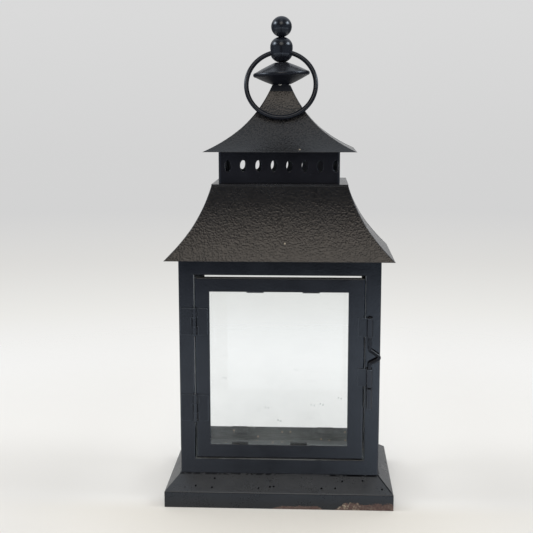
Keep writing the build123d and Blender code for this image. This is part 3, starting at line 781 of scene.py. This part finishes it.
def dress():
    """Gives every node of the frame its finish: its own, or else that of its slot."""
    slots = {
        "body_paint": body_finish("body_paint", BODY_BLACK, inside_dust_and_painted_light),
        "roof_paint": roof_finish("roof_paint", ROOF_CHARCOAL, roughness=0.28, shine=0.42),
        "finial_paint": smooth_finish("finial_paint", FINIAL_BLACK, roughness=0.23, shine=0.40),
        # Hardware gets its edges lightened strongly: partly wear, partly a painted highlight
        "hardware_paint": painted(
            "hardware_paint", BODY_BLACK, roughness=0.21, peel=HARDWARE_PEEL, settled=0.22, worn_and_lit=0.75
        ),
        "plain_steel": plain_steel(),
        "glass": sheet_glass(),
    }
    # Upper roof: the roofs' paint with a lighter charcoal as painted light
    upper_roof = roof_finish("upper_roof_paint", UPPER_LIT_CHARCOAL, roughness=0.29, shine=0.34)
    saucer = smooth_finish("saucer_paint", FINIAL_BLACK, roughness=0.30, shine=0.34, settled=0.04)
    dull = smooth_finish("neck_paint", FINIAL_BLACK, roughness=0.52, shine=0.20)
    thin = smooth_finish("ring_paint", FINIAL_BLACK, roughness=0.20, shine=0.26, peel=WIRE_PEEL)
    handled = smooth_finish("bolt_paint", BODY_BLACK, roughness=0.27, shine=0.38, settled=0.10)
    dusty = painted("clip_paint", DUSTY_CLIP, roughness=0.5, peel=SHEET_PEEL, settled=0.22)
    pitted = plinth_finish("plinth_paint", pits)
    own = {
        "plinth_front": plinth_finish("plinth_front_paint", chipped),
        "plinth_right": plinth_finish("plinth_right_paint", rubbed),
        "plinth_left": pitted,
        "plinth_back": pitted,
        "upper_roof_front": upper_roof,
        "upper_roof_back": upper_roof,
        "upper_roof_left": upper_roof,
        "upper_roof_right": upper_roof,
        # The band in the body's paint, with a lighter black as painted light
        "vent_band": body_finish("band_paint", BAND_LIT_BLACK, lit_band_inside),
        "carry_ring": thin,
        "latch_bolt": handled,
        "neck_block": dull,
        "saucer_lower": dull,
        "saucer_upper": saucer,
        "door_glass_clips": dusty,
    }
    for part in frame["record"]["subparts"]:
        node = part["node"]
        finish = own.get(node, slots[part["material_slot"]])
        for slot in frame["nodes"][node].material_slots:
            slot.material = finish


def make_piece(name, shape):
    """Puts a finished shape into the scene."""
    mesh = bpy.data.meshes.new(name)
    shape.to_mesh(mesh)
    shape.free()
    piece = bpy.data.objects.new(name, mesh)
    bpy.context.scene.collection.objects.link(piece)
    return piece


def solder_paint():
    """Black paint over solder, with one pale spot in front that is a painted glint."""
    material, wire, place = start_material("solder_paint")
    across, depth, _ = place.axes()
    marked = overlap((abs(across - BEAD_GLINT), BEAD_GLINT_HALF), (depth, BEAD_GLINT_FRONT))
    marked = marked * place.noise(BEAD_PATCH, 3.0).rise(0.2, 0.45)
    # Pale spot in front: a painted glint
    tone = marked.blend(FINIAL_BLACK, GLINT_PALE)
    rough = BEAD_ROUGHNESS + (place.noise(BEAD_GRAIN, 2.0) - 0.5) * BEAD_GRAIN_ROUGH
    shader = wire.node("BsdfPrincipled", sockets={"Base Color": tone, "Roughness": rough})
    return end_material(material, wire, shader)


def apex_bead():
    """The bead of solder that seats the leaning saucer on the neck."""
    shape = bmesh.new()
    wheel = Matrix.Translation((BEAD_RADIUS, 0, 0)) @ Matrix.Rotation(math.pi / 2, 4, "X")
    bmesh.ops.create_circle(shape, segments=BEAD_WIRE_SEGMENTS, radius=BEAD_WIRE, matrix=wheel)
    bmesh.ops.spin(
        shape,
        geom=shape.edges[:],
        cent=(0, 0, 0),
        axis=(0, 0, 1),
        angle=math.tau,
        steps=BEAD_STEPS,
        use_merge=True,
    )
    bmesh.ops.remove_doubles(shape, verts=shape.verts[:], dist=MERGE_WITHIN)
    bmesh.ops.recalc_face_normals(shape, faces=shape.faces[:])
    seat = Matrix.Translation(BEAD_PLACE) @ Matrix.Rotation(-BEAD_LEAN, 4, "Y")
    bmesh.ops.transform(shape, matrix=seat, verts=shape.verts[:])
    for face in shape.faces:
        face.smooth = True
    bead = make_piece("apex_bead", shape)
    bead.data.materials.append(solder_paint())
    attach(bead, "lantern")


def floor_paper():
    """Pale paper, with painted shade at the sides and a painted shadow close in front, clear where
    it fades.
    """
    material, wire, place = start_material("floor_paper")
    away = wire.node("VectorMath", {"operation": "LENGTH"}, {0: place}, out="Value")
    across, depth, _ = place.axes()
    forward = depth * -1
    share = ASIDE_BACK_SHARE + forward.rise(*ASIDE_FORWARD) * ASIDE_FORWARD_SHARE
    # Painted shade on the paper at the sides, with more of it in front
    tone = (abs(across).rise(*ASIDE_ACROSS) * share).blend(FLOOR_COLOUR, FLOOR_SHADE_ASIDE)
    # Painted shadow on the paper close in front of the lantern
    tone = overlap((away, NEAR_AWAY), (forward, NEAR_FORWARD)).blend(tone, FLOOR_SHADOW_NEAR)
    paper = wire.node("BsdfDiffuse", sockets={"Color": tone})
    clear = wire.node("BsdfTransparent")
    gloss = wire.node("LightPath", out="Is Glossy Ray")
    ahead = forward.rise(*FRONT_FADE).most(forward.rise(*GLOSS_FADE) * gloss)
    faded = away.rise(*FLOOR_FADE).most(ahead)
    shader = wire.node("MixShader", sockets={0: faded, 1: paper, 2: clear})
    return end_material(material, wire, shader)


def studio_floor():
    """A round floor, solid round the lantern and fading into the backdrop."""
    shape = bmesh.new()
    bmesh.ops.create_circle(shape, cap_ends=True, radius=FLOOR_RADIUS, segments=FLOOR_SEGMENTS)
    floor = make_piece("floor", shape)
    floor.data.materials.append(floor_paper())


def level_ramp(wire, height, levels):
    """A colour that goes with height."""
    low, high = levels[0][0], levels[-1][0]
    stops = [((place - low) / (high - low), (*colour, 1.0)) for place, colour in levels]
    return wire.node("ValToRGB", {"stops": stops}, {0: (height - low) / (high - low)})


def studio_world():
    """A backdrop for the eye and through glass; gloss shows the room in front of the lantern too."""
    world = bpy.data.worlds.new("studio")
    world.use_nodes = True
    world.cycles.sampling_method = "NONE"
    world.node_tree.nodes.clear()
    wire = Wire(world.node_tree)
    across, depth, height = wire.node("TexCoord", out="Generated").axes()
    backdrop = level_ramp(wire, height, BACKDROP)
    sides = across.rise(*SIDES_RIGHT).most(across.rise(*SIDES_LEFT))
    middle = level_ramp(wire, height, ROOM_MIDDLE)
    room = sides.blend(middle, level_ramp(wire, height, ROOM_SIDES))
    walls = overlap((abs(across), WALL_ACROSS), (height, WALL_FOOT))
    room = (walls * WALL_SHARE).blend(room, SIDE_WALL)
    level = overlap((height, GLOW_FOOT), (height, GLOW_TOP))
    room = (across.rise(*GLOW_LEFT) * level).blend(room, LEFT_GLOW)
    room = (across.rise(*GLOW_RIGHT) * level).blend(room, RIGHT_GLOW)
    sheen = overlap(
        (across, SHEEN_NEAR), (across, SHEEN_FAR), (height, SHEEN_FOOT), (height, SHEEN_TOP)
    )
    room = (sheen * SHEEN_SHARE).blend(room, RIGHT_SHEEN)
    beside = overlap((abs(across), BESIDE_ACROSS), (height, BESIDE_FOOT), (height, BESIDE_TOP))
    room = depth.rise(*BEHIND).blend(room, beside.blend(backdrop, BESIDE))
    window = overlap(
        (abs(across), WINDOW_ACROSS),
        (depth, WINDOW_FRONT),
        (depth, WINDOW_BACK),
        (height, WINDOW_FOOT),
        (height, WINDOW_TOP),
    )
    room = window.blend(room, WINDOW)
    sight = wire.node("LightPath", out="Is Camera Ray")
    gloss = wire.node("LightPath", out="Is Glossy Ray")
    through = wire.node("LightPath", out="Is Transmission Ray")
    seen = sight.most(gloss).most(through)
    colour = seen.blend(AMBIENT, gloss.blend(backdrop, room))
    shader = wire.node("Background", sockets={"Color": colour})
    wire.node("OutputWorld", sockets={"Surface": shader})
    bpy.context.scene.world = world


def studio_lamp(name, place, size, power, colour):
    """A soft round lamp that faces the middle of the lantern."""
    light = bpy.data.lights.new(name, "AREA")
    light.shape = "DISK"
    light.size = size
    light.energy = power
    light.color = colour
    lamp = bpy.data.objects.new(name, light)
    lamp.location = place
    lamp.rotation_euler = (LAMP_AIM - lamp.location).to_track_quat("-Z", "Y").to_euler()
    bpy.context.scene.collection.objects.link(lamp)


def studio_camera():
    """The photograph's camera: looking along +Y, turned by yaw, pitch and roll."""
    camera = bpy.data.cameras.new("camera")
    camera.sensor_fit = "HORIZONTAL"
    camera.sensor_width = SENSOR_MM
    camera.lens = SENSOR_MM * FOCAL_PX / FRAME_PX
    camera.clip_start = CAMERA_NEAR
    holder = bpy.data.objects.new("camera", camera)
    turn = Matrix.Rotation(-math.radians(CAMERA_YAW), 4, "Z")
    tilt = Matrix.Rotation(math.radians(90 - CAMERA_PITCH), 4, "X")
    roll = Matrix.Rotation(math.radians(CAMERA_ROLL), 4, "Z")
    holder.matrix_world = Matrix.Translation(CAMERA_PLACE) @ turn @ tilt @ roll
    bpy.context.scene.collection.objects.link(holder)
    bpy.context.scene.camera = holder


dress()
apex_bead()
studio_floor()
studio_world()
for lamp_name, lamp_values in LAMPS.items():
    studio_lamp(lamp_name, **lamp_values)
studio_camera()
bpy.context.scene.view_settings.view_transform = "Standard"
